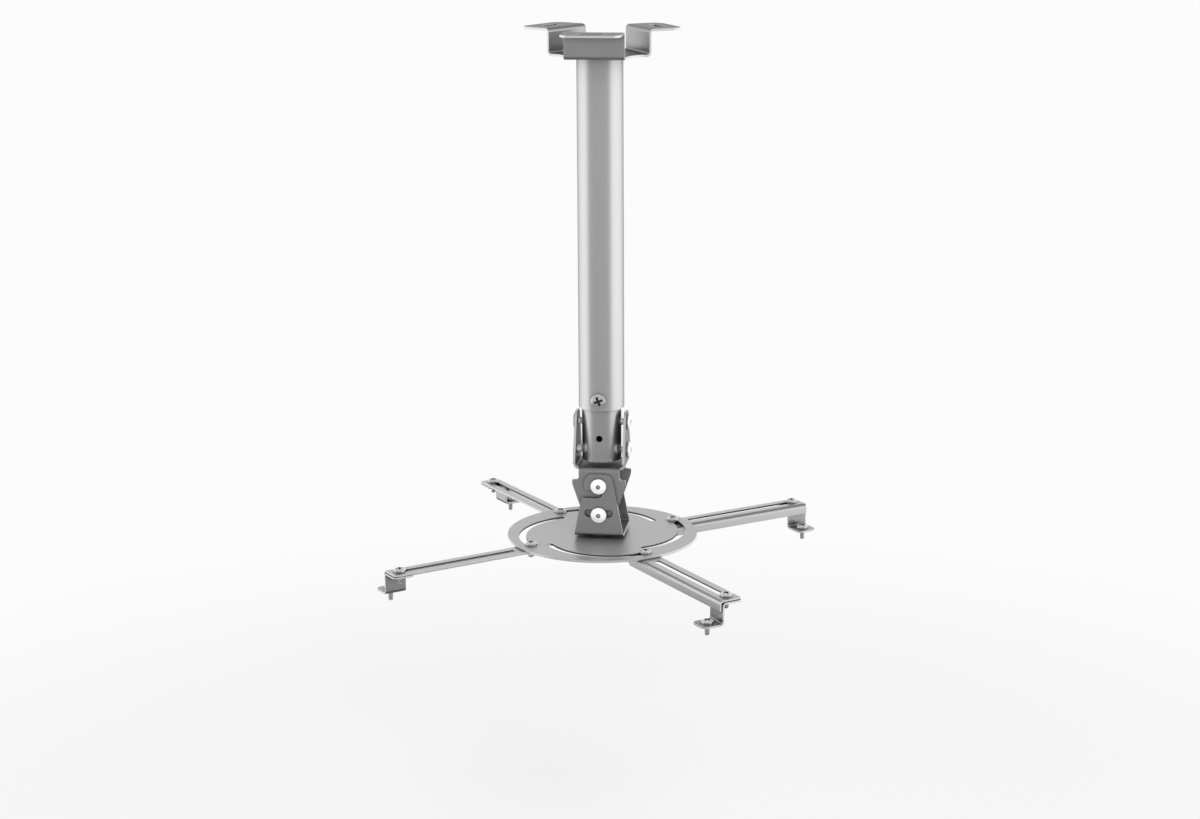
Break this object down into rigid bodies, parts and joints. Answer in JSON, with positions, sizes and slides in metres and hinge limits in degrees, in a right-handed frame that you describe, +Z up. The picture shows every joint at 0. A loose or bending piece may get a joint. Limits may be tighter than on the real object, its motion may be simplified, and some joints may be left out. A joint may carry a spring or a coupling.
{
  "type": "projector ceiling mount",
  "caption": "Telescoping ceiling mount with tilt, roll and swivel joints and a slotted disc of adjustable arms whose feet screw to a device.",
  "frame": {"origin": "on the pole's axis, in the plane of the ceiling ears' upper faces", "axes": "+Z up into the ceiling, the pole hangs along -Z; the front, with the pole's lock screw and one ceiling ear, is towards -Y; +X is to the right seen from the front"},
  "size_m": [0.3455, 0.3437, 0.4545],
  "materials": {
    "coated_steel": "satin silver-grey powder coat",
    "coated_disc": "satin silver-grey powder coat",
    "zinc": "bright zinc plate"
  },
  "bodies": {
    "mast": {"ceiling_bracket": "coated_steel", "outer_tube": "coated_steel", "lock_screw": "zinc"},
    "inner_mast": {"inner_tube": "coated_steel", "side_nuts": "zinc", "tilt_pivot_screw_left": "zinc", "tilt_pivot_screw_right": "zinc", "tilt_lock_screw_left": "zinc", "tilt_lock_screw_right": "zinc"},
    "yoke": {"cross_yoke": "coated_steel", "roll_nuts": "zinc", "hook_screw_front": "zinc", "hook_screw_rear": "zinc", "roll_lock_screw_front": "zinc", "roll_lock_screw_rear": "zinc"},
    "lower_bracket": {"lower_u_bracket": "coated_steel", "swivel_bolt": "zinc", "swivel_spacer": "coated_steel", "swivel_washer": "zinc", "swivel_nut": "zinc"},
    "spider_disc": {"disc": "coated_disc"},
    "slider_front_right": {"disc_screw_front_right": "zinc", "disc_screw_nut_front_right": "zinc"},
    "arm_front_right": {"arm_front_right": "coated_steel"},
    "foot_front_right": {"foot_front_right": "coated_steel", "end_screw_front_right": "zinc", "device_screw_front_right": "zinc"},
    "slider_rear_right": {"disc_screw_rear_right": "zinc", "disc_screw_nut_rear_right": "zinc"},
    "arm_rear_right": {"arm_rear_right": "coated_steel"},
    "foot_rear_right": {"foot_rear_right": "coated_steel", "end_screw_rear_right": "zinc", "device_screw_rear_right": "zinc"},
    "slider_rear_left": {"disc_screw_rear_left": "zinc", "disc_screw_nut_rear_left": "zinc"},
    "arm_rear_left": {"arm_rear_left": "coated_steel"},
    "foot_rear_left": {"foot_rear_left": "coated_steel", "end_screw_rear_left": "zinc", "device_screw_rear_left": "zinc"},
    "slider_front_left": {"disc_screw_front_left": "zinc", "disc_screw_nut_front_left": "zinc"},
    "arm_front_left": {"arm_front_left": "coated_steel"},
    "foot_front_left": {"foot_front_left": "coated_steel", "end_screw_front_left": "zinc", "device_screw_front_left": "zinc"}
  },
  "joints": [
    {"name": "pole_extension", "type": "slide", "parent": "mast", "child": "inner_mast", "axis": [0, 0, -1], "range_m": [0, 0.1998]},
    {"name": "tilt", "type": "hinge", "parent": "inner_mast", "child": "yoke", "pos_m": [0, 0, -0.3262], "axis": [1, 0, 0], "range_deg": [-19, 19]},
    {"name": "roll", "type": "hinge", "parent": "yoke", "child": "lower_bracket", "pos_m": [0, 0, -0.377], "axis": [0, 1, 0], "range_deg": [-19, 19]},
    {"name": "swivel", "type": "hinge", "parent": "lower_bracket", "child": "spider_disc", "pos_m": [0, 0, -0.4234], "axis": [0, 0, 1], "continuous": true},
    {"name": "slot_travel_front_right", "type": "hinge", "parent": "spider_disc", "child": "slider_front_right", "pos_m": [0.00866, -0.01062, -0.4234], "axis": [0, 0, -1], "range_deg": [-0.9, 54.1]},
    {"name": "arm_swing_front_right", "type": "hinge", "parent": "slider_front_right", "child": "arm_front_right", "pos_m": [0.04312, -0.05425, -0.4255], "axis": [0, 0, 1], "range_deg": [-18, 18]},
    {"name": "foot_slide_front_right", "type": "slide", "parent": "arm_front_right", "child": "foot_front_right", "axis": [-0.6101, 0.7923, 0], "range_m": [0, 0.088]},
    {"name": "slot_travel_rear_right", "type": "hinge", "parent": "spider_disc", "child": "slider_rear_right", "pos_m": [0.01062, 0.00866, -0.4234], "axis": [0, 0, -1], "range_deg": [-3.2, 51.8]},
    {"name": "arm_swing_rear_right", "type": "hinge", "parent": "slider_rear_right", "child": "arm_rear_right", "pos_m": [0.0556, 0.04134, -0.4255], "axis": [0, 0, 1], "range_deg": [-18, 18]},
    {"name": "foot_slide_rear_right", "type": "slide", "parent": "arm_rear_right", "child": "foot_rear_right", "axis": [-0.7976, -0.6032, 0], "range_m": [0, 0.088]},
    {"name": "slot_travel_rear_left", "type": "hinge", "parent": "spider_disc", "child": "slider_rear_left", "pos_m": [-0.00866, 0.01062, -0.4234], "axis": [0, 0, -1], "range_deg": [-0.3, 54.7]},
    {"name": "arm_swing_rear_left", "type": "hinge", "parent": "slider_rear_left", "child": "arm_rear_left", "pos_m": [-0.04357, 0.05389, -0.4255], "axis": [0, 0, 1], "range_deg": [-18, 18]},
    {"name": "foot_slide_rear_left", "type": "slide", "parent": "arm_rear_left", "child": "foot_rear_left", "axis": [0.6252, -0.7804, 0], "range_m": [0, 0.088]},
    {"name": "slot_travel_front_left", "type": "hinge", "parent": "spider_disc", "child": "slider_front_left", "pos_m": [-0.01062, -0.00866, -0.4234], "axis": [0, 0, -1], "range_deg": [-0.3, 54.7]},
    {"name": "arm_swing_front_left", "type": "hinge", "parent": "slider_front_left", "child": "arm_front_left", "pos_m": [-0.05389, -0.04357, -0.4255], "axis": [0, 0, 1], "range_deg": [-18, 18]},
    {"name": "foot_slide_front_left", "type": "slide", "parent": "arm_front_left", "child": "foot_front_left", "axis": [0.7793, 0.6266, 0], "range_m": [0, 0.088]}
  ]
}
